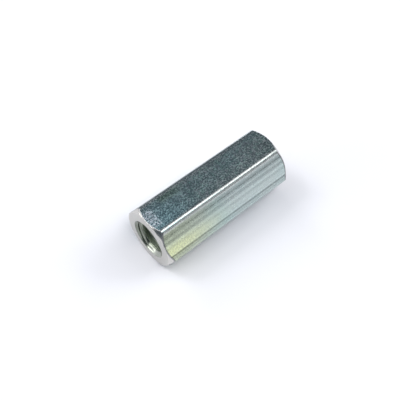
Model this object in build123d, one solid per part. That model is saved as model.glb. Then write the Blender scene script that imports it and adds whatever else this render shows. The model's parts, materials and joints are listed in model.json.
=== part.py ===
"""Hex standoff: a length of hexagon steel bar, tapped right through, for a screw at each end.

It lies on one flat. X runs along the bore, Z is up, Y runs across two corners of the hexagon, and
the origin is the middle of the bore.
"""
import os
from math import cos, radians, tan

from build123d import *

# Driving dimensions, in millimetres and degrees
across_flats = 8.0
body_length = 20.0
corner_radius = 0.6  # drawn round on the bar's six long edges
end_face_inset = 0.15  # how far the rim of the turned end face lies inside the flats
end_chamfer_angle = 30.0  # between the turned cone and the end face
thread_major_diameter = 5.0  # M5 coarse
thread_pitch = 0.8
mouth_relief = 0.2  # how far the countersink's rim stands outside the thread's major radius
mouth_angle = 90.0  # included angle of the countersink
rim_break = 0.08  # deburring radius on the rims of the end faces and of the mouths

# Facts of the forms
hexagon_sides = 6
thread_depth_per_pitch = 0.54127  # height of a tapped 60 degree thread, for each millimetre of pitch
cutter_overrun = 1.0  # how far the cutting profiles run past what they cut

# Sizes that follow from the driving ones
half_length = body_length / 2
corner_reach = across_flats / 2 / cos(radians(180 / hexagon_sides))
end_face_radius = across_flats / 2 - end_face_inset
turned_radius = corner_reach + cutter_overrun
turned_depth = (turned_radius - end_face_radius) * tan(radians(end_chamfer_angle))
bore_radius = thread_major_diameter / 2 - thread_depth_per_pitch * thread_pitch
mouth_radius = thread_major_diameter / 2 + mouth_relief
mouth_slope = tan(radians(mouth_angle / 2))
mouth_depth = (mouth_radius - bore_radius) / mouth_slope
bore_wall_length = body_length - 2 * mouth_depth


def turned_solid(half_profile: list[tuple[float, float]]) -> Part:
    """Revolve about X a profile given by its right half, as points (x, radius) from the middle out."""
    left_half = [(-x, radius) for x, radius in reversed(half_profile)]
    end_x = half_profile[-1][0]
    outline = left_half + half_profile + [(end_x, 0), (-end_x, 0)]
    return revolve(Plane.XZ * make_face(Polyline(*outline, close=True)), axis=Axis.X)


def hexagon_bar() -> Part:
    """Bar with rounded long edges, cut to length, with a flat facing down and a flat facing up."""
    section = RegularPolygon(across_flats / 2, hexagon_sides, major_radius=False)
    section = fillet(section.vertices(), corner_radius)
    return extrude(Plane.YZ * section, amount=half_length, both=True)


def turned_ends() -> Part:
    """What a lathe's cones leave at both ends, wide enough elsewhere to hold the whole bar."""
    cone_foot = (half_length - turned_depth, turned_radius)
    return turned_solid([cone_foot, (half_length, end_face_radius)])


def drilled_hole() -> Part:
    """The core drilled for the thread, with a countersunk mouth at each end."""
    cone_foot = (half_length - mouth_depth, bore_radius)
    cone_rim = (half_length + cutter_overrun, mouth_radius + cutter_overrun * mouth_slope)
    return turned_solid([cone_foot, cone_rim])


def standoff() -> Part:
    """The whole piece, with the rims of its end faces deburred."""
    body = (hexagon_bar() & turned_ends()) - drilled_hole()
    end_faces = body.faces().sort_by(Axis.X)
    rims = end_faces[0].edges() + end_faces[-1].edges()
    return fillet(rims, rim_break)


os.makedirs("parts", exist_ok=True)
export_step(standoff(), "parts/standoff.step")

print(f"bore wall: radius {bore_radius:.4f} mm, length {bore_wall_length:.4f} mm")
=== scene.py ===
"""Hex standoff: cuts the real thread, plates the piece with zinc and lights it on a white bench."""

import json
import logging
import math
from collections.abc import Callable, Sequence
from dataclasses import dataclass
from enum import Enum
from functools import reduce
from typing import ClassVar

import bmesh
import bpy
from mathutils import Matrix, Vector


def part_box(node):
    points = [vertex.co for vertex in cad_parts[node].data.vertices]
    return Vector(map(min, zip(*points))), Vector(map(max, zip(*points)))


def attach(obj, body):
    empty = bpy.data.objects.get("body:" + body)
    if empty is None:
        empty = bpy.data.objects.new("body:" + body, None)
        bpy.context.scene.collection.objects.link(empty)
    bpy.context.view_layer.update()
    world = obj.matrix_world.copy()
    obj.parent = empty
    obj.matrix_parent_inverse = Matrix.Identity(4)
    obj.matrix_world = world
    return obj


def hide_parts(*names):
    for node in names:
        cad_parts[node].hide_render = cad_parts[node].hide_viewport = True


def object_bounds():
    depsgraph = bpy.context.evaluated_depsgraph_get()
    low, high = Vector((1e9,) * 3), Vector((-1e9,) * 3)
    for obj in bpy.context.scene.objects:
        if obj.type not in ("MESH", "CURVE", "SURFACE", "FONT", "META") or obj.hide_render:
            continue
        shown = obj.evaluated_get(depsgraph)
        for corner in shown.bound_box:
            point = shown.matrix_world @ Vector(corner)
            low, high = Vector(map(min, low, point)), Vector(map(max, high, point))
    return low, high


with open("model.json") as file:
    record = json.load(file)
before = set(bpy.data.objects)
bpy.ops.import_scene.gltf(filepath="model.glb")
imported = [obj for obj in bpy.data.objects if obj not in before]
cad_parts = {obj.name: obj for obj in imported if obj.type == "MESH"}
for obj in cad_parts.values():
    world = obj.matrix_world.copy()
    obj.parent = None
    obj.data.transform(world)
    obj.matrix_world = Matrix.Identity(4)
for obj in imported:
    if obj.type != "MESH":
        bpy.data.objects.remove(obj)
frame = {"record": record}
cad_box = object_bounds()

logging.basicConfig(level=logging.INFO, format="%(message)s")
log = logging.getLogger("hex_standoff")

MM = 0.001
MICRON = 0.001 * MM
SAME_POINT = 0.5 * MICRON
FLAT_TURN = math.pi / 3  # from one flat of the hexagon to the next
CORNER_TURN = FLAT_TURN / 2  # from the middle of a flat to its corner
NODE = "standoff"
SLOT = "zinc_plated_steel"
BODY = "root"
ALONG_X = (0, math.pi / 2, 0)  # turn that lays a round primitive's axis along the bar


# Modelling moves


class Cut(Enum):
    """What a tool does to the body that it meets."""

    REMOVE = "DIFFERENCE"
    KEEP_INSIDE = "INTERSECT"


def deselect_all() -> None:
    """Leave edit mode, if it is on, and deselect every object."""
    if bpy.context.mode != "OBJECT":
        bpy.ops.object.mode_set(mode="OBJECT")
    bpy.ops.object.select_all(action="DESELECT")


def make_active(piece: bpy.types.Object) -> None:
    """Select one piece alone and make it the one that operators work on.

    Args:
        piece: The piece.
    """
    deselect_all()
    piece.select_set(True)
    bpy.context.view_layer.objects.active = piece


def place_in_mesh(piece: bpy.types.Object) -> None:
    """Move a piece's place, turn and scale into its mesh, so that its object sits at the origin."""
    make_active(piece)
    bpy.ops.object.transform_apply(location=True, rotation=True, scale=True)


def select_edges(piece: bpy.types.Object, test: Callable[[bmesh.types.BMEdge], bool]) -> int:
    """Select those of a piece's edges in edit mode that pass a test.

    Args:
        piece: The active piece.
        test: Says of an edge whether it is wanted.

    Returns:
        How many edges are selected.
    """
    bpy.ops.object.mode_set(mode="EDIT")
    bpy.ops.mesh.select_mode(type="EDGE")
    bpy.ops.mesh.select_all(action="DESELECT")
    cage = bmesh.from_edit_mesh(piece.data)
    wanted = [edge for edge in cage.edges if test(edge)]
    for edge in wanted:
        edge.select_set(True)
    bmesh.update_edit_mesh(piece.data)
    return len(wanted)


def turned_solid(name: str, stations: list[tuple[float, float]], sides: int) -> bpy.types.Object:
    """Make a solid of revolution about X, as a disc extruded and scaled from station to station.

    Args:
        name: Name of the new object.
        stations: Points (x, radius) of the outline, from one end to the other.
        sides: How many flat sides stand for the round.

    Returns:
        The solid, with its place in its mesh.
    """
    x, radius = stations[0]
    deselect_all()
    bpy.ops.mesh.primitive_circle_add(
        vertices=sides, radius=radius, fill_type="NGON", location=(x, 0, 0), rotation=ALONG_X
    )
    solid = bpy.context.active_object
    solid.name = name
    place_in_mesh(solid)
    bpy.ops.object.mode_set(mode="EDIT")
    bpy.ops.mesh.select_mode(type="FACE")
    bpy.ops.mesh.select_all(action="SELECT")
    for next_x, next_radius in stations[1:]:
        bpy.ops.mesh.extrude_region_move(TRANSFORM_OT_translate={"value": (next_x - x, 0, 0)})
        growth = next_radius / radius
        bpy.ops.transform.resize(value=(1, growth, growth), center_override=(next_x, 0, 0))
        x, radius = next_x, next_radius
    bpy.ops.mesh.select_all(action="SELECT")
    bpy.ops.mesh.normals_make_consistent(inside=False)
    bpy.ops.object.mode_set(mode="OBJECT")
    return solid


def merge_doubles(piece: bpy.types.Object) -> None:
    """Merge the points of a piece that lie on each other, and face its surface outwards.

    Args:
        piece: A piece with a closed surface.
    """
    make_active(piece)
    bpy.ops.object.mode_set(mode="EDIT")
    bpy.ops.mesh.select_all(action="SELECT")
    bpy.ops.mesh.remove_doubles(threshold=SAME_POINT)
    bpy.ops.mesh.normals_make_consistent(inside=False)
    if bmesh.from_edit_mesh(piece.data).calc_volume(signed=True) < 0:
        bpy.ops.mesh.flip_normals()
    bpy.ops.object.mode_set(mode="OBJECT")


def use_tool(body: bpy.types.Object, tool: bpy.types.Object, cut: Cut) -> None:
    """Cut a body with a tool's solid, and put the tool away.

    Args:
        body: The body.
        tool: The tool, which is deleted.
        cut: What is left of the body.
    """
    make_active(body)
    modifier = body.modifiers.new(tool.name, "BOOLEAN")
    modifier.operation = cut.value
    modifier.solver = "MANIFOLD"
    modifier.object = tool
    bpy.ops.object.modifier_apply(modifier=modifier.name)
    bpy.data.objects.remove(tool)
    merge_doubles(body)


def report(piece: bpy.types.Object) -> None:
    """Log a piece's name, faces and size."""
    size = " x ".join(f"{side / MM:.2f}" for side in piece.dimensions)
    log.info("%s: %d faces, %s mm", piece.name, len(piece.data.polygons), size)


# Sizes


class Hand(Enum):
    """Which way a thread winds, as the sign of its turn about +X on the way along +X."""

    RIGHT = 1
    LEFT = -1


@dataclass(frozen=True)
class StandoffSizes:
    """Sizes of the standoff in metres and radians, the main ones read from the frame."""

    length: float
    across_flats: float
    across_corners: float
    bore_radius: float
    bore_length: float
    end_face_radius: float = 3.95 * MM
    chamfer_angle: float = math.radians(42)
    mouth_angle: float = math.radians(90)
    edge_break: float = 0.08 * MM
    thread_major_radius: float = 2.5 * MM
    thread_pitch: float = 0.8 * MM
    thread_flank_angle: float = math.radians(30)
    thread_hand: Hand = Hand.RIGHT
    thread_lead_in: float = 0.42 * MM

    @classmethod
    def from_frame(cls) -> "StandoffSizes":
        """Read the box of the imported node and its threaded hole.

        Returns:
            The sizes.
        """
        low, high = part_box(NODE)
        size = high - low
        hole = next(m for m in frame["record"]["mounts"] if m["kind"] == "threaded_hole")["dims"]
        return cls(size.x, size.z, size.y, hole["r_mm"] * MM, hole["length_mm"] * MM)

    @property
    def half_length(self) -> float:
        """Distance from the middle to an end face."""
        return self.length / 2

    @property
    def sharp_corner_reach(self) -> float:
        """Distance from the axis to a corner of the hexagon before its long edge is rounded."""
        return self.across_flats / 2 / math.cos(CORNER_TURN)

    @property
    def corner_radius(self) -> float:
        """Round on the long edges, from how far it pulls the corners in."""
        pulled_in = self.sharp_corner_reach - self.across_corners / 2
        return pulled_in / (1 / math.cos(CORNER_TURN) - 1)

    @property
    def chamfer_depth(self) -> float:
        """How far the turned chamfer runs along the axis before it has passed the corners."""
        return (self.sharp_corner_reach - self.end_face_radius) * math.tan(self.chamfer_angle)

    @property
    def mouth_depth(self) -> float:
        """Depth of the countersink at each end."""
        return (self.length - self.bore_length) / 2

    @property
    def mouth_radius(self) -> float:
        """Radius of the countersink's rim in the end face."""
        return self.bore_radius + self.mouth_depth * math.tan(self.mouth_angle / 2)

    @property
    def groove_width(self) -> float:
        """Width of the thread's groove at its flat bottom, an eighth of the pitch."""
        return self.thread_pitch / 8

    def chamfer_width(self, turn: float) -> float:
        """Width of the turned chamfer at an angle round the axis from the middle of a flat."""
        flat_reach = self.across_flats / 2 / math.cos(turn)
        return (flat_reach - self.end_face_radius) / math.cos(self.chamfer_angle)


# Nodes


Colour = tuple[float, float, float, float]
Output = bpy.types.NodeSocket
Feed = Output | float | tuple[float, ...]


class Maths(Enum):
    """Sums that the recipes use, by the names that a Math node has for them."""

    ADD = "ADD"
    SUBTRACT = "SUBTRACT"
    MULTIPLY = "MULTIPLY"
    DIVIDE = "DIVIDE"
    SCALE_AND_ADD = "MULTIPLY_ADD"
    ROOT = "SQRT"
    MAGNITUDE = "ABSOLUTE"
    SINE = "SINE"
    ANGLE = "ARCTAN2"
    FLOOR = "FLOOR"
    WRAP = "WRAP"
    NEAR = "COMPARE"
    LARGER = "MAXIMUM"


class Lay(Enum):
    """How a second colour is laid on a first."""

    OVER = "MIX"
    TINTING = "MULTIPLY"


@dataclass(frozen=True)
class Ramp:
    """Soft change from start to end while a value goes from low to high, or down to it."""

    low: float
    high: float
    start: float = 0
    end: float = 1


@dataclass(frozen=True)
class Clouds:
    """Cloudy pattern: clouds to the millimetre, how many finer ones are in them and how strong."""

    scale: float
    detail: float = 2
    roughness: float = 0.5


class Nodes:
    """Nodes added to a tree one after another, each one's output fed on to the next."""

    MIX_SHARE, MIX_FIRST, MIX_SECOND = 0, 6, 7  # a Mix node's inputs where it mixes colours
    MIXED = 2  # its output there
    CURVE_VALUE = 1
    MAPPING_SCALE = 3

    def __init__(self, tree: bpy.types.NodeTree) -> None:
        """Take up a tree."""
        self.tree = tree

    def feed(self, socket: Output, value: Feed) -> None:
        """Wire a socket to another node's output, or set its number.

        Args:
            socket: An input socket.
            value: The output, or the number or colour.
        """
        if isinstance(value, Output):
            self.tree.links.new(value, socket)
        else:
            socket.default_value = value

    def node(self, kind: str, feeds: dict[int | str, Feed], **options: str) -> bpy.types.Node:
        """Add a node.

        Args:
            kind: The node's type, without its common first part.
            feeds: What goes into which input socket.
            options: The node's own settings.

        Returns:
            The new node.
        """
        node = self.tree.nodes.new("ShaderNode" + kind)
        for option, choice in options.items():
            setattr(node, option, choice)
        for socket, value in feeds.items():
            self.feed(node.inputs[socket], value)
        return node

    def maths(self, operation: Maths, *values: Feed) -> Output:
        """Work out one number from others."""
        return self.node("Math", dict(enumerate(values)), operation=operation.value).outputs[0]

    def times(self, *values: Feed) -> Output:
        """Multiply values with each other."""
        return reduce(lambda first, second: self.maths(Maths.MULTIPLY, first, second), values)

    def plus(self, first: Feed, second: Feed) -> Output:
        """Add two values."""
        return self.maths(Maths.ADD, first, second)

    def minus(self, first: Feed, second: Feed) -> Output:
        """Take the second value from the first."""
        return self.maths(Maths.SUBTRACT, first, second)

    def scaled(self, value: Feed, gain: Feed, base: Feed) -> Output:
        """Multiply a value by a gain and add a base."""
        return self.maths(Maths.SCALE_AND_ADD, value, gain, base)

    def magnitude(self, value: Feed) -> Output:
        """Take a value without its sign."""
        return self.maths(Maths.MAGNITUDE, value)

    def fade(self, value: Feed, ramp: Ramp) -> Output:
        """Pass softly along a ramp as a value grows."""
        feeds = dict(enumerate((value, ramp.low, ramp.high, ramp.start, ramp.end)))
        return self.node("MapRange", feeds, interpolation_type="SMOOTHSTEP").outputs[0]

    def point(self, x: Feed, y: Feed, z: Feed) -> Output:
        """Make a point or a grey from three numbers."""
        return self.node("CombineXYZ", {"X": x, "Y": y, "Z": z}).outputs[0]

    def noise(self, point: Feed, clouds: Clouds) -> Output:
        """Lay a cloudy pattern from 0 to 1 over a point's place."""
        fineness = {"Scale": clouds.scale, "Detail": clouds.detail, "Roughness": clouds.roughness}
        return self.node("TexNoise", {"Vector": point, **fineness}).outputs["Fac"]

    def blend(self, share: Feed, first: Feed, second: Feed, lay: Lay = Lay.OVER) -> Output:
        """Lay a second colour on the first by its share."""
        feeds = {self.MIX_SHARE: share, self.MIX_FIRST: first, self.MIX_SECOND: second}
        return self.node("Mix", feeds, data_type="RGBA", blend_type=lay.value).outputs[self.MIXED]

    def curve(self, value: Feed, stops: Sequence[tuple[float, float]]) -> Output:
        """Follow a smooth curve through points.

        Args:
            value: Where on the curve, from 0 to 1.
            stops: The points (value, result), both between 0 and 1.

        Returns:
            The result.
        """
        node = self.node("FloatCurve", {self.CURVE_VALUE: value})
        line = node.mapping.curves[0].points
        line[0].location, line[1].location = stops[:2]
        for stop in stops[2:]:
            line.new(*stop)
        for stop in line:
            stop.handle_type = "AUTO_CLAMPED"
        node.mapping.update()
        return node.outputs[0]

    def bump(self, height: Feed, depth: float, under: Feed | None = None) -> Output:
        """Raise the surface.

        Args:
            height: How high, from 0 to 1.
            depth: What 1 stands for, in metres.
            under: The surface as it is already raised, if it is.

        Returns:
            The surface's new normal.
        """
        feeds = {"Strength": 1.0, "Distance": depth, "Height": height}
        if under is not None:
            feeds["Normal"] = under
        return self.node("Bump", feeds).outputs[0]


class Recipe(Nodes):
    """A material's nodes, which end in the usual surface shader."""

    def __init__(self, name: str) -> None:
        """Start a material with the usual surface shader.

        Args:
            name: Name of the material.
        """
        self.material = bpy.data.materials.new(name)
        self.material.use_nodes = True
        super().__init__(self.material.node_tree)

    def finish(self, quality: str, value: Feed) -> None:
        """Feed one of the shader's own inputs."""
        self.feed(self.tree.nodes["Principled BSDF"].inputs[quality], value)


# The finish


@dataclass(frozen=True)
class DieLine:
    """One line along every flat: its rise is the drawing die's mark, its shade partly that mark and
    partly painted reflection and shade.
    """

    across: float
    rise: float
    shade: float


@dataclass(frozen=True)
class DieMarks:
    """What the drawing die leaves across a flat, in millimetres across and micrometres of rise, its
    shades also copying the light and dark bands that a flat mirrors and darkening the rounds at its
    edges, as painted reflection and shade.
    """

    width: float = 4.62
    lowest: float = -8.0
    highest: float = 22.0
    lines: tuple[DieLine, ...] = (
        DieLine(0.0, 0.0, 1.0),
        DieLine(0.08, 0.0, 0.97),
        DieLine(0.15, 0.0, 0.8),
        DieLine(0.26, 0.0, 0.8),
        DieLine(0.38, 0.0, 0.98),
        DieLine(0.5, 1.0, 0.93),
        DieLine(0.8, 3.5, 0.74),
        DieLine(0.95, 6.0, 0.74),
        DieLine(1.1, 12.0, 0.8),
        DieLine(1.25, 15.0, 0.8),
        DieLine(1.42, 16.5, 0.93),
        DieLine(1.55, 17.0, 0.88),
        DieLine(1.75, 18.5, 0.72),
        DieLine(2.0, 20.0, 0.84),
        DieLine(2.3, 17.0, 0.99),
        DieLine(2.65, 11.0, 0.83),
        DieLine(3.05, 4.0, 0.95),
        DieLine(3.25, 0.0, 0.93),
        DieLine(3.55, -5.0, 0.98),
        DieLine(3.68, -6.5, 0.84),
        DieLine(3.78, -5.0, 0.6),
        DieLine(3.9, -3.0, 0.66),
        DieLine(4.03, -2.0, 0.87),
        DieLine(4.2, -0.5, 0.83),
        DieLine(4.62, 0.0, 0.78),
    )

    @property
    def depth(self) -> float:
        """Height of the whole shape in metres."""
        return (self.highest - self.lowest) * MICRON

    def rises(self) -> list[tuple[float, float]]:
        """Give place and rise of each line, both brought to 0 to 1."""
        span = self.highest - self.lowest
        return [(line.across / self.width, (line.rise - self.lowest) / span) for line in self.lines]

    def shades(self) -> list[tuple[float, float]]:
        """Give place and shade of each line, the place brought to 0 to 1."""
        return [(line.across / self.width, line.shade) for line in self.lines]


@dataclass(frozen=True)
class SurfacePlace:
    """Where a point of the surface lies, as nodes' outputs in millimetres and shares."""

    TOP_FLAT: ClassVar[int] = 1
    SAME_FLAT: ClassVar[float] = 0.5
    TURNED_FACING: ClassVar[Ramp] = Ramp(0.1, 0.3)
    END_FACING: ClassVar[Ramp] = Ramp(0.8, 0.95)
    RIM_FACING: ClassVar[Ramp] = Ramp(0.72, 0.62)
    PAST_MOUTH: ClassVar[Ramp] = Ramp(0.06, 0.02)
    CORE_DEPTH: ClassVar[Ramp] = Ramp(0.58, 0.68)

    point: Output
    along: Output  # along the bar, from its middle
    wide: Output  # level across the bar, from its axis
    across: Output  # across a flat, from its middle
    reach: Output  # from the axis
    flat: Output  # number of the flat, counted round the bar
    on_top: Output
    drawn: Output  # on a flat or a long edge
    end_face: Output
    chamfer: Output
    rim: Output  # on a broken edge of the chamfer or the mouth
    bore: Output  # in the mouth or the thread
    core: Output  # deeper in than the mouth
    arc_gap: Output  # along the bar to the arc that the chamfer leaves on a flat

    @classmethod
    def read(cls, mix: Recipe, sizes: StandoffSizes) -> "SurfacePlace":
        """Add the nodes that work it out from object coordinates.

        Args:
            mix: The material that gets the nodes.
            sizes: Sizes of the standoff.

        Returns:
            The place.
        """
        texture = mix.node("TexCoord", {}).outputs
        in_mm = {0: texture["Object"], mix.MAPPING_SCALE: (1 / MM, 1 / MM, 1 / MM)}
        point = mix.node("Mapping", in_mm).outputs[0]
        along, wide, high = mix.node("SeparateXYZ", {0: point}).outputs[:3]
        reach = mix.maths(Maths.ROOT, mix.scaled(wide, wide, mix.times(high, high)))
        angle = mix.maths(Maths.ANGLE, high, wide)
        flat = mix.maths(Maths.FLOOR, mix.maths(Maths.DIVIDE, angle, FLAT_TURN))
        on_top = mix.maths(Maths.NEAR, flat, cls.TOP_FLAT, cls.SAME_FLAT)
        fold = mix.minus(mix.maths(Maths.WRAP, angle, FLAT_TURN, 0), CORNER_TURN)
        across = mix.times(reach, mix.maths(Maths.SINE, fold))
        depth = mix.minus(sizes.half_length / MM, mix.magnitude(along))

        bore = mix.fade(mix.minus(reach, sizes.mouth_radius / MM), cls.PAST_MOUTH)
        core = mix.fade(depth, cls.CORE_DEPTH)
        facing = mix.magnitude(mix.node("SeparateXYZ", {0: texture["Normal"]}).outputs[0])
        turned = mix.times(mix.fade(facing, cls.TURNED_FACING), mix.minus(1, bore))
        end_face = mix.times(turned, mix.fade(facing, cls.END_FACING))
        chamfer = mix.minus(turned, end_face)
        rim = mix.times(turned, mix.fade(facing, cls.RIM_FACING))
        drawn = mix.minus(mix.minus(1, turned), bore)
        cone_reach = mix.minus(reach, sizes.end_face_radius / MM)
        arc_gap = mix.minus(depth, mix.times(cone_reach, math.tan(sizes.chamfer_angle)))
        where = (point, along, wide, across, reach, flat)
        which = (on_top, drawn, end_face, chamfer, rim, bore, core)
        return cls(*where, *which, arc_gap)


@dataclass(frozen=True)
class Area:
    """A soft-edged part of the surface, between ramps along the bar and ramps level across it."""

    along: tuple[Ramp, ...] = ()
    wide: tuple[Ramp, ...] = ()

    def share(self, mix: Recipe, place: SurfacePlace) -> Output:
        """How much a point belongs to it.

        Args:
            mix: The material that gets the nodes.
            place: Where the point is.

        Returns:
            The share, 1 for a point well inside.
        """
        fades = [mix.fade(place.along, ramp) for ramp in self.along]
        fades += [mix.fade(place.wide, ramp) for ramp in self.wide]
        return mix.times(*fades)


@dataclass(frozen=True)
class Patterns:
    """What varies over the surface apart from its place, as what nodes pass on from 0 to 1."""

    streaks: Output
    grain: Output
    rings: Output
    worn: Output


@dataclass(frozen=True)
class ZincPlating:
    """Bright zinc with a pale blue passivated film on drawn steel. Places are in millimetres."""

    name: str = SLOT
    die: DieMarks = DieMarks()

    # Colours of the film, of bared metal and of what lies in shade; some paint a highlight on the
    # long edges, a shadow at the arcs and light and shade in the mouths
    pale_blue: Colour = (0.505, 0.645, 0.635, 1)
    pale_grey: Colour = (0.565, 0.645, 0.625, 1)
    purple_grey: Colour = (0.6, 0.6, 0.64, 1)
    deep_teal: Colour = (0.43, 0.66, 0.58, 1)
    clear_blue: Colour = (0.57, 0.84, 0.88, 1)
    moss_green: Colour = (0.44, 0.58, 0.5, 1)
    straw_green: Colour = (0.74, 0.79, 0.475, 1)
    olive: Colour = (0.55, 0.61, 0.46, 1)
    # Lighter long edges: wear from rubbing, and a painted highlight
    rubbed_edge_and_highlight: Colour = (0.67, 0.69, 0.67, 1)
    machined_face: Colour = (0.595, 0.585, 0.555, 1)
    broken_edge: Colour = (0.38, 0.38, 0.39, 1)
    worn_spot: Colour = (0.72, 0.77, 0.85, 1)
    # Mouth colours: painted shade on the +Y side, painted light on the -Y side, and a darker foot
    mouth_shade: Colour = (0.265, 0.285, 0.24, 1)
    mouth_lit_side: Colour = (0.42, 0.44, 0.385, 1)
    mouth_foot: Colour = (0.1, 0.115, 0.085, 1)
    bore_shade: Colour = (0.55, 0.6, 0.515, 1)
    # Dark colour of a painted shadow along the chamfer's edge on the -Y flats
    painted_arc_shadow: Colour = (0.2, 0.21, 0.2, 1)

    # Patterns
    streak_clouds: Clouds = Clouds(2.6, detail=4, roughness=0.65)
    mottle_clouds: Clouds = Clouds(0.8, detail=3)
    grain_clouds: Clouds = Clouds(4.8, roughness=0.6)
    worn_clouds: Clouds = Clouds(5.5)
    film_clouds: Clouds = Clouds(0.35)
    tone_clouds: Clouds = Clouds(2.3)
    ring_clouds: Clouds = Clouds(9, detail=3)
    streak_squeeze: float = 0.015  # draws the streaks out along the bar
    film_squeeze: float = 0.5
    flat_shift: float = 7.3  # keeps one flat's streaks unlike the next one's
    noise_middle: float = 0.5

    # Where along and across the bar a tint, a mark, painted light and painted shade show
    clear_area: Area = Area(along=(Ramp(-2, -9),), wide=(Ramp(3.5, -1.5),))
    moss_area: Area = Area(along=(Ramp(-7.5, -6.5), Ramp(-3, -5)), wide=(Ramp(0.5, 1.5),))
    worn_area: Area = Area(along=(Ramp(-8.1, -8.9),), wide=(Ramp(-1.7, -1), Ramp(1.6, 1)))
    tinted_area: Area = Area(along=(Ramp(2, -9.5),), wide=(Ramp(-2.25, -2.5),))
    straw_area: Area = Area(wide=(Ramp(-3.2, -3.85), Ramp(-4.45, -3.95)))
    top_far_end_darker: Area = Area(along=(Ramp(5, 9, 0, -0.18),), wide=(Ramp(1, -0.4),))
    keen_area: Area = Area(along=(Ramp(-5, -9, 0, 0.5),))
    mouth_lit_area: Area = Area(wide=(Ramp(1, -0.6),))
    rubbed_and_highlit_side: Ramp = Ramp(-4.1, -3.8)
    arc_side: Ramp = Ramp(-2.3, -2.45)

    # How patterns and places turn into shares and shades
    mottle_shift: Ramp = Ramp(0.3, 0.7, -0.035, 0.035)
    side_spangle: Ramp = Ramp(-3, -8.5, 0.4, 0.85)
    worn_flecks: Ramp = Ramp(0.39, 0.59)
    grey_clouds: Ramp = Ramp(0.35, 0.65)
    purple_flecks: Ramp = Ramp(0.52, 0.68, 0, 0.5)
    teal_flecks: Ramp = Ramp(0.48, 0.32, 0, 0.5)
    rubbed_and_highlit_from: Ramp = Ramp(1.65, 2.05)
    rubbed_and_highlit_less: Ramp = Ramp(2.1, 2.25, 0, -0.75)
    arc_shadow: Ramp = Ramp(0.24, 0.06)
    mouth_narrows: Ramp = Ramp(2.3, 2.15)
    grain_shade: Ramp = Ramp(0.3, 0.72, -0.235, 0.255)
    streak_shade: Ramp = Ramp(0.3, 0.7, -0.08, 0.065)
    keen_middle: float = 0.8  # shade of the die's lines that stays where the others get keener
    top_marks: float = 0.15  # share of the die's marks on the flat that lies on top

    # Relief
    streak_height: float = 4 * MICRON
    grain_height: float = 4 * MICRON
    ring_height: float = 2 * MICRON

    # Roughness of the plain film, and what each place adds to it
    blur: float = 0.19
    fleck_blur: float = 0.14
    end_face_blur: float = 0.16
    chamfer_blur: float = -0.03
    rim_blur: float = 0.27
    worn_blur: float = 0.2
    core_blur: float = 0.3
    blurred_grain: Ramp = Ramp(0.38, 0.68)
    blurred_flat: Ramp = Ramp(2.12, 1.92)

    def material(self, sizes: StandoffSizes) -> bpy.types.Material:
        """Make the material.

        Args:
            sizes: Sizes of the standoff that gets it.

        Returns:
            The material.
        """
        mix = Recipe(self.name)
        place = SurfacePlace.read(mix, sizes)
        patterns = self.patterns(mix, place)
        film = self.worked(mix, place, patterns, self.film(mix, place))
        grey = self.shade(mix, place, patterns)
        mix.finish("Base Color", mix.blend(1.0, film, mix.point(grey, grey, grey), Lay.TINTING))
        mix.finish("Normal", self.relief(mix, place, patterns))
        mix.finish("Roughness", self.roughness(mix, place, patterns))
        mix.finish("Metallic", 1.0)
        return mix.material

    def patterns(self, mix: Recipe, place: SurfacePlace) -> Patterns:
        """Lay out the streaks along the flats, the grain, the lathe's rings and the worn flecks.

        Args:
            mix: The material that gets the nodes.
            place: Where a point of the surface lies.

        Returns:
            The patterns.
        """
        drawn_out = mix.times(place.along, self.streak_squeeze)
        along_flat = mix.point(drawn_out, place.across, mix.times(place.flat, self.flat_shift))
        streaks = mix.noise(along_flat, self.streak_clouds)
        mottle = mix.fade(mix.noise(place.point, self.mottle_clouds), self.mottle_shift)
        grain = mix.plus(mix.noise(place.point, self.grain_clouds), mottle)
        spangled = mix.maths(Maths.LARGER, place.on_top, mix.fade(place.along, self.side_spangle))
        grain = mix.scaled(mix.minus(grain, self.noise_middle), spangled, self.noise_middle)
        rings = mix.noise(mix.point(place.reach, 0, 0), self.ring_clouds)
        flecks = mix.fade(mix.noise(place.point, self.worn_clouds), self.worn_flecks)
        worn = mix.times(self.worn_area.share(mix, place), flecks, place.on_top)
        return Patterns(streaks, grain, rings, worn)

    def film(self, mix: Recipe, place: SurfacePlace) -> Output:
        """Colour the passivated film, with straw and olive towards one end.

        Args:
            mix: The material that gets the nodes.
            place: Where a point of the surface lies.

        Returns:
            The colour.
        """
        cloudy = mix.point(mix.times(place.along, self.film_squeeze), place.wide, place.flat)
        clouds = mix.fade(mix.noise(cloudy, self.film_clouds), self.grey_clouds)
        film = mix.blend(clouds, self.pale_blue, self.pale_grey)
        tone = mix.noise(place.point, self.tone_clouds)
        purple = mix.times(mix.fade(tone, self.purple_flecks), place.on_top)
        teal = mix.times(mix.fade(tone, self.teal_flecks), place.on_top)
        film = mix.blend(teal, mix.blend(purple, film, self.purple_grey), self.deep_teal)
        clear = mix.times(self.clear_area.share(mix, place), place.on_top)
        film = mix.blend(clear, film, self.clear_blue)
        moss = mix.times(self.moss_area.share(mix, place), place.on_top)
        film = mix.blend(moss, film, self.moss_green)
        tint = mix.blend(self.straw_area.share(mix, place), self.olive, self.straw_green)
        return mix.blend(self.tinted_area.share(mix, place), film, tint)

    def worked(self, mix: Recipe, place: SurfacePlace, patterns: Patterns, film: Output) -> Output:
        """Colour what tools and wear have bared: edges, end faces, mouths and bore, with a painted
        highlight on the long edges, a painted shadow at the arcs and painted light and shade in the
        mouths.

        Args:
            mix: The material that gets the nodes.
            place: Where a point of the surface lies.
            patterns: What varies over the surface.
            film: Colour of the film where it is whole.

        Returns:
            The colour.
        """
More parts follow.
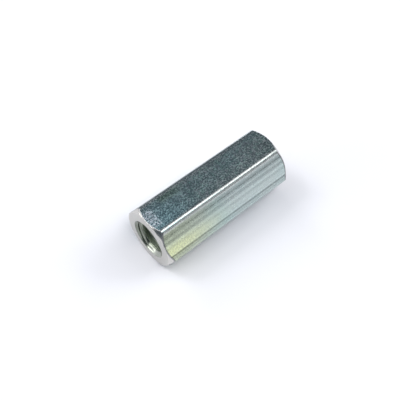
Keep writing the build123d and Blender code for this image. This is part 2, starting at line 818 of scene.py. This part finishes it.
        # Lighter long edges, partly worn by rubbing and partly a painted highlight, left off the
        # corner edge at -Y
        from_middle = mix.magnitude(place.across)
        rubbed_and_highlit = mix.fade(from_middle, self.rubbed_and_highlit_from)
        rubbed_and_highlit = mix.plus(rubbed_and_highlit, mix.fade(from_middle, self.rubbed_and_highlit_less))
        rubbed_and_highlit = mix.times(rubbed_and_highlit, mix.fade(place.wide, self.rubbed_and_highlit_side))
        film = mix.blend(rubbed_and_highlit, film, self.rubbed_edge_and_highlight)
        film = mix.blend(patterns.worn, film, self.worn_spot)
        # Painted shadow: a dark band beside the chamfer's edge on the flats at -Y
        arc = mix.fade(place.arc_gap, self.arc_shadow)
        arc = mix.times(arc, mix.fade(place.wide, self.arc_side))
        film = mix.blend(arc, film, self.painted_arc_shadow)
        film = mix.blend(mix.plus(place.end_face, place.chamfer), film, self.machined_face)
        film = mix.blend(place.rim, film, self.broken_edge)
        # Painted light and shade: the mouth is lighter towards -Y and darker towards +Y
        mouth = mix.blend(self.mouth_lit_area.share(mix, place), self.mouth_shade, self.mouth_lit_side)
        mouth = mix.blend(mix.fade(place.reach, self.mouth_narrows), mouth, self.mouth_foot)
        return mix.blend(place.bore, film, mix.blend(place.core, mouth, self.bore_shade))

    def shade(self, mix: Recipe, place: SurfacePlace, patterns: Patterns) -> Output:
        """Darken and lighten the drawn flats by grain, streaks and the die's lines, whose shades
        are partly painted reflection and shade and keener towards one end, and darken the top flat
        towards its far end.

        Args:
            mix: The material that gets the nodes.
            place: Where a point of the surface lies.
            patterns: What varies over the surface.

        Returns:
            What to multiply the colour by, about 1.
        """
        grain = mix.fade(patterns.grain, self.grain_shade)
        speckle = mix.plus(grain, mix.fade(patterns.streaks, self.streak_shade))
        # Darker towards the far end of the top flat
        speckle = mix.plus(speckle, mix.times(self.top_far_end_darker.share(mix, place), place.on_top))
        speckle = mix.scaled(speckle, place.drawn, 1)
        # The die's shades: partly its marks, partly painted reflection and shade
        line = mix.curve(self.place_on_die(mix, place), self.die.shades())
        keener = mix.times(self.keen_area.share(mix, place), mix.minus(line, self.keen_middle))
        line = mix.plus(mix.minus(line, 1), keener)
        return mix.times(speckle, mix.scaled(line, self.marked(mix, place), 1))

    def relief(self, mix: Recipe, place: SurfacePlace, patterns: Patterns) -> Output:
        """Raise the die's marks, the streaks along the flats, the grain and the lathe's rings.

        Args:
            mix: The material that gets the nodes.
            place: Where a point of the surface lies.
            patterns: What varies over the surface.

        Returns:
            The surface's normal.
        """
        rise = mix.curve(self.place_on_die(mix, place), self.die.rises())
        relief = mix.bump(mix.times(rise, self.marked(mix, place)), self.die.depth)
        relief = mix.bump(mix.times(patterns.streaks, place.drawn), self.streak_height, relief)
        relief = mix.bump(mix.times(patterns.grain, place.drawn), self.grain_height, relief)
        return mix.bump(mix.times(patterns.rings, place.end_face), self.ring_height, relief)

    def roughness(self, mix: Recipe, place: SurfacePlace, patterns: Patterns) -> Output:
        """Blur the reflections, more in the grain's flecks, on end faces and rims and in the core.

        Args:
            mix: The material that gets the nodes.
            place: Where a point of the surface lies.
            patterns: What varies over the surface.

        Returns:
            The roughness.
        """
        flecks = mix.times(mix.fade(patterns.grain, self.blurred_grain), place.drawn)
        flecks = mix.times(flecks, mix.fade(mix.magnitude(place.across), self.blurred_flat))
        blur = mix.scaled(flecks, self.fleck_blur, self.blur)
        blur = mix.scaled(place.end_face, self.end_face_blur, blur)
        blur = mix.scaled(place.chamfer, self.chamfer_blur, blur)
        blur = mix.scaled(place.rim, self.rim_blur, blur)
        blur = mix.scaled(patterns.worn, self.worn_blur, blur)
        return mix.scaled(mix.times(place.core, place.bore), self.core_blur, blur)

    def marked(self, mix: Recipe, place: SurfacePlace) -> Output:
        """Share of the die's marks, which are faint on the flat that lies on top."""
        return mix.times(mix.scaled(place.on_top, self.top_marks - 1, 1), place.drawn)

    def place_on_die(self, mix: Recipe, place: SurfacePlace) -> Output:
        """Place across a flat from 0 to 1."""
        return mix.maths(Maths.DIVIDE, mix.plus(place.across, self.die.width / 2), self.die.width)


# The piece


@dataclass(frozen=True)
class HexStandoff:
    """The standoff, made as its maker does: bar, lathe, drill, deburring and tap."""

    sizes: StandoffSizes
    plating: ZincPlating
    corner_segments: int = 10
    lathe_sides: int = 192
    drill_sides: int = 96
    tap_steps: int = 96
    break_segments: int = 3
    break_profile: float = 0.5  # round
    smooth_below: float = math.radians(32)
    sharp_above: float = math.radians(25.6)
    arc_profile: float = (1 - math.tan(CORNER_TURN / 2)) ** 2  # a true round at 120 degrees
    break_room: float = 0.47  # share of a narrow chamfer that the break of one edge may take
    drill_overrun: float = MM
    tap_overrun: int = 3  # turns beyond the bar's length
    tooth_base: float = 0.05 * MM  # how far inside the drilled core the tap's teeth start

    def build(self) -> bpy.types.Object:
        """Make the finished piece.

        Returns:
            The piece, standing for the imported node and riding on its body.
        """
        body = self.hexagon_bar()
        self.turn_ends(body)
        self.drill(body)
        self.break_edges(body)
        self.tap(body)
        self.smooth(body)
        self.dress(body)
        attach(body, BODY)
        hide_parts(NODE)
        return body

    def hexagon_bar(self) -> bpy.types.Object:
        """Cut a length of hexagon bar, with corners at +Y and -Y and round long edges.

        Returns:
            The bar.
        """
        size = self.sizes
        deselect_all()
        bpy.ops.mesh.primitive_cylinder_add(
            vertices=6, radius=size.sharp_corner_reach, depth=size.length, rotation=ALONG_X
        )
        bar = bpy.context.active_object
        bar.name = "hex_standoff"
        bar.data.name = bar.name
        place_in_mesh(bar)
        select_edges(bar, lambda edge: edge.calc_length() > size.half_length)
        bpy.ops.mesh.bevel(
            offset_type="OFFSET",
            offset=size.corner_radius * math.tan(CORNER_TURN),
            segments=self.corner_segments,
            profile=self.arc_profile,
            affect="EDGES",
        )
        bpy.ops.object.mode_set(mode="OBJECT")
        return bar

    def turn_ends(self, body: bpy.types.Object) -> None:
        """Turn a chamfer at each end, which leaves an arc on every flat.

        Args:
            body: The bar.
        """
        size = self.sizes
        outer = (size.half_length - size.chamfer_depth, size.sharp_corner_reach)
        right = [outer, (size.half_length, size.end_face_radius)]
        left = [(-x, radius) for x, radius in reversed(right)]
        use_tool(body, turned_solid("lathe", left + right, self.lathe_sides), Cut.KEEP_INSIDE)

    def drill(self, body: bpy.types.Object) -> None:
        """Drill the core for the thread and countersink both mouths.

        Args:
            body: The bar with turned ends.
        """
        size = self.sizes
        cone_foot = size.half_length - size.mouth_depth
        cone_rim = size.mouth_radius + self.drill_overrun * math.tan(size.mouth_angle / 2)
        right = [(cone_foot, size.bore_radius), (size.half_length + self.drill_overrun, cone_rim)]
        left = [(-x, radius) for x, radius in reversed(right)]
        use_tool(body, turned_solid("drill", left + right, self.drill_sides), Cut.REMOVE)

    def break_edges(self, body: bpy.types.Object) -> None:
        """Deburr the rims of the end faces and mouths, and the arcs where the cones meet the flats.

        Args:
            body: The drilled piece.
        """
        make_active(body)
        count = select_edges(body, self.is_sharp)
        cage = bmesh.from_edit_mesh(body.data)
        shares = cage.edges.layers.float.new("bevel_weight_edge")
        for edge in cage.edges:
            edge[shares] = self.break_share(edge) if edge.select else 0
        bpy.ops.object.mode_set(mode="OBJECT")
        deburr = body.modifiers.new("deburr", "BEVEL")
        deburr.limit_method = "WEIGHT"
        deburr.offset_type = "OFFSET"
        deburr.width = self.sizes.edge_break
        deburr.segments = self.break_segments
        deburr.profile = self.break_profile
        deburr.use_clamp_overlap = False
        bpy.ops.object.modifier_apply(modifier=deburr.name)
        merge_doubles(body)
        log.info("broke %d edges", count)

    def is_sharp(self, edge: bmesh.types.BMEdge) -> bool:
        """Say whether an edge is one to break.

        Args:
            edge: An edge of the drilled piece.

        Returns:
            True for a sharp edge that isn't down in the bore.
        """
        size = self.sizes
        middle = (edge.verts[0].co + edge.verts[1].co) / 2
        half_way_in = size.half_length - size.mouth_depth / 2
        in_the_bore = abs(middle.x) < half_way_in and middle.yz.length < size.mouth_radius
        return edge.calc_face_angle(0) > self.sharp_above and not in_the_bore

    def break_share(self, edge: bmesh.types.BMEdge) -> float:
        """Work out what share of the full break an edge gets.

        Args:
            edge: An edge that is to be broken.

        Returns:
            1, or less where the chamfer is too narrow for the breaks of both its edges.
        """
        size = self.sizes
        middle = (edge.verts[0].co + edge.verts[1].co) / 2
        if middle.yz.length < (size.mouth_radius + size.end_face_radius) / 2:
            return 1
        turn = math.atan2(middle.z, middle.y) % FLAT_TURN - CORNER_TURN
        return min(1, self.break_room * size.chamfer_width(turn) / size.edge_break)

    def tap(self, body: bpy.types.Object) -> None:
        """Cut the thread right through with the solid that a tap's teeth sweep.

        Args:
            body: The deburred piece.
        """
        size = self.sizes
        tooth = self.tap_tooth()
        sweep = tooth.modifiers.new("sweep", "SCREW")
        sweep.axis = "X"
        sweep.screw_offset = size.thread_pitch * size.thread_hand.value
        sweep.iterations = round(size.length / size.thread_pitch + self.tap_overrun)
        sweep.steps = self.tap_steps
        sweep.render_steps = self.tap_steps
        sweep.use_merge_vertices = False
        bpy.ops.object.modifier_apply(modifier=sweep.name)
        # The sweep leaves the tooth's four-sided outline open at both ends
        bpy.ops.object.mode_set(mode="EDIT")
        bpy.ops.mesh.select_all(action="SELECT")
        bpy.ops.mesh.fill_holes(sides=4)
        bpy.ops.object.mode_set(mode="OBJECT")
        merge_doubles(tooth)
        xs = [vertex.co.x for vertex in tooth.data.vertices]
        start, end = min(xs) / MM, max(xs) / MM
        log.info("tap from %.2f to %.2f mm, %d faces", start, end, len(tooth.data.polygons))
        use_tool(body, tooth, Cut.REMOVE)

    def tap_tooth(self) -> bpy.types.Object:
        """Make the outline of one of the tap's teeth, a flat face that narrows outwards.

        Returns:
            The tooth, active and in object mode, where the sweep of the thread starts.
        """
        size = self.sizes
        base = size.bore_radius - self.tooth_base
        tip = size.thread_major_radius
        middle = (base + tip) / 2
        base_width = size.groove_width + 2 * (tip - base) * math.tan(size.thread_flank_angle)
        start = -size.half_length - size.thread_pitch - size.thread_lead_in
        deselect_all()
        bpy.ops.mesh.primitive_plane_add(size=1, location=(start, middle, 0))
        tooth = bpy.context.active_object
        tooth.name = "tap"
        tooth.scale = (base_width, tip - base, 1)
        place_in_mesh(tooth)
        select_edges(tooth, lambda edge: all(vertex.co.y > middle for vertex in edge.verts))
        narrowing = size.groove_width / base_width
        bpy.ops.transform.resize(value=(narrowing, 1, 1), center_override=(start, tip, 0))
        bpy.ops.object.mode_set(mode="OBJECT")
        return tooth

    def smooth(self, body: bpy.types.Object) -> None:
        """Shade the rounds smooth and keep the flats flat.

        Args:
            body: The threaded piece.
        """
        make_active(body)
        bpy.ops.object.shade_smooth_by_angle(angle=self.smooth_below)
        weigh = body.modifiers.new("flat_faces", "WEIGHTED_NORMAL")
        weigh.keep_sharp = True
        bpy.ops.object.modifier_apply(modifier=weigh.name)

    def dress(self, body: bpy.types.Object) -> None:
        """Plate the piece, without the empty material slots that the cuts leave."""
        body.data.materials.clear()
        body.data.materials.append(self.plating.material(self.sizes))


# The studio


def direction(azimuth: float, elevation: float) -> Vector:
    """Point from the origin to where a camera or lamp stands.

    Args:
        azimuth: Degrees round from the -Y side towards +X.
        elevation: Degrees above the floor.

    Returns:
        The unit vector.
    """
    turn, rise = math.radians(azimuth), math.radians(elevation)
    level = math.cos(rise)
    return Vector((math.sin(turn) * level, -math.cos(turn) * level, math.sin(rise)))


@dataclass(frozen=True)
class Softbox:
    """A square soft light that points at the standoff from far enough off to light it evenly."""

    azimuth: float
    elevation: float
    brightness: float
    width: float = 1.0
    shows_in_gloss: bool = True
    distance: float = 3.0

    def hang(self) -> None:
        """Hang the light and turn its face to the origin."""
        name = f"softbox_{self.azimuth:03}_{self.elevation:02}"
        lamp = bpy.data.lights.new(name, "AREA")
        lamp.shape = "SQUARE"
        lamp.size = self.width
        lamp.energy = self.brightness * math.pi * self.width**2
        light = bpy.data.objects.new(name, lamp)
        towards = direction(self.azimuth, self.elevation)
        light.location = towards * self.distance
        light.rotation_euler = towards.to_track_quat("Z", "Y").to_euler()
        light.visible_camera = False
        light.visible_glossy = self.shows_in_gloss
        bpy.context.scene.collection.objects.link(light)


@dataclass(frozen=True)
class PhotoCamera:
    """The camera at the photograph's viewing angle, as fitted to the standoff's outline."""

    azimuth: float = -41.31
    elevation: float = 55.97
    roll: float = 0.832
    distance: float = 83.0 * MM
    right_of_middle: float = 1.173 * MM
    above_middle: float = 0.477 * MM
    focal_pixels: float = 640.2
    picture_pixels: int = 400
    sensor_width: float = 36.0  # in millimetres, as the lens is
    nearest: float = 1 * MM

    def place(self) -> None:
        """Set up the camera and make it the scene's own."""
        back = direction(self.azimuth, self.elevation)
        bearing = math.radians(self.azimuth)
        level = Vector((math.cos(bearing), math.sin(bearing), 0))
        upright = back.cross(level)
        turn = math.radians(self.roll)
        right = level * math.cos(turn) + upright * math.sin(turn)
        up = upright * math.cos(turn) - level * math.sin(turn)
        data = bpy.data.cameras.new("photo_camera")
        data.sensor_width = self.sensor_width
        data.lens = data.sensor_width * self.focal_pixels / self.picture_pixels
        data.clip_start = self.nearest
        camera = bpy.data.objects.new("photo_camera", data)
        spot = back * self.distance - right * self.right_of_middle - up * self.above_middle
        axes = Matrix((right, up, back)).transposed()
        camera.matrix_world = Matrix.Translation(spot) @ axes.to_4x4()
        bpy.context.scene.collection.objects.link(camera)
        bpy.context.scene.camera = camera


@dataclass(frozen=True)
class Studio:
    """A plain white bench under soft light."""

    floor_size: float = 6.0
    floor_white: Colour = (0.845, 0.84, 0.88, 1)
    floor_roughness: float = 0.9
    room: Colour = (0.1, 0.125, 0.15, 1)
    backdrop: Colour = (1, 1, 1, 1)
    camera: PhotoCamera = PhotoCamera()
    lights: tuple[Softbox, ...] = (
        Softbox(azimuth=24, elevation=20, brightness=0.7),
        Softbox(azimuth=60, elevation=35, brightness=5.7),
        Softbox(azimuth=90, elevation=35, brightness=3.2),
        Softbox(azimuth=180, elevation=35, brightness=4.6),
        Softbox(azimuth=210, elevation=35, brightness=0.8),
        Softbox(azimuth=240, elevation=35, brightness=0.7),
        Softbox(azimuth=36, elevation=50, brightness=0.7),
        Softbox(azimuth=72, elevation=50, brightness=2.3),
        Softbox(azimuth=216, elevation=50, brightness=8.2),
        Softbox(azimuth=252, elevation=50, brightness=1.4),
        Softbox(azimuth=0, elevation=65, brightness=6.7),
        Softbox(azimuth=51, elevation=65, brightness=2.2),
        Softbox(azimuth=103, elevation=65, brightness=0.8),
        Softbox(azimuth=257, elevation=65, brightness=1.3),
        Softbox(azimuth=0, elevation=85, brightness=0.55, width=2.4, shows_in_gloss=False),
        Softbox(azimuth=228, elevation=5, brightness=2.9, width=0.9),
        Softbox(azimuth=248, elevation=16, brightness=3.7, width=1.1),
    )

    def build(self) -> bpy.types.Object:
        """Lay the floor, hang the lights and set the room, the camera and the picture's tones.

        Returns:
            The floor.
        """
        floor = self.lay_floor()
        for light in self.lights:
            light.hang()
        self.surround()
        self.camera.place()
        bpy.context.scene.view_settings.view_transform = "Standard"
        log.info("%d softboxes hung", len(self.lights))
        return floor

    def lay_floor(self) -> bpy.types.Object:
        """Lay the white floor under the lowest flat.

        Returns:
            The floor.
        """
        deselect_all()
        bpy.ops.mesh.primitive_plane_add(size=self.floor_size, location=(0, 0, cad_box[0].z))
        floor = bpy.context.active_object
        floor.name = "floor"
        place_in_mesh(floor)
        paint = Recipe("white_bench")
        paint.finish("Base Color", self.floor_white)
        paint.finish("Roughness", self.floor_roughness)
        floor.data.materials.append(paint.material)
        return floor

    def surround(self) -> None:
        """Set the dim room that the steel mirrors and the white backdrop that the camera sees."""
        world = bpy.data.worlds.new("studio_room")
        world.use_nodes = True
        nodes = Nodes(world.node_tree)
        seen = nodes.node("LightPath", {}).outputs["Is Camera Ray"]
        wall = nodes.blend(seen, self.room, self.backdrop)
        nodes.feed(world.node_tree.nodes["Background"].inputs["Color"], wall)
        bpy.context.scene.world = world


def main() -> None:
    """Build the standoff and the studio round it, and report them."""
    standoff = HexStandoff(StandoffSizes.from_frame(), ZincPlating()).build()
    report(standoff)
    floor = Studio().build()
    report(floor)


if __name__ == "__main__":
    main()
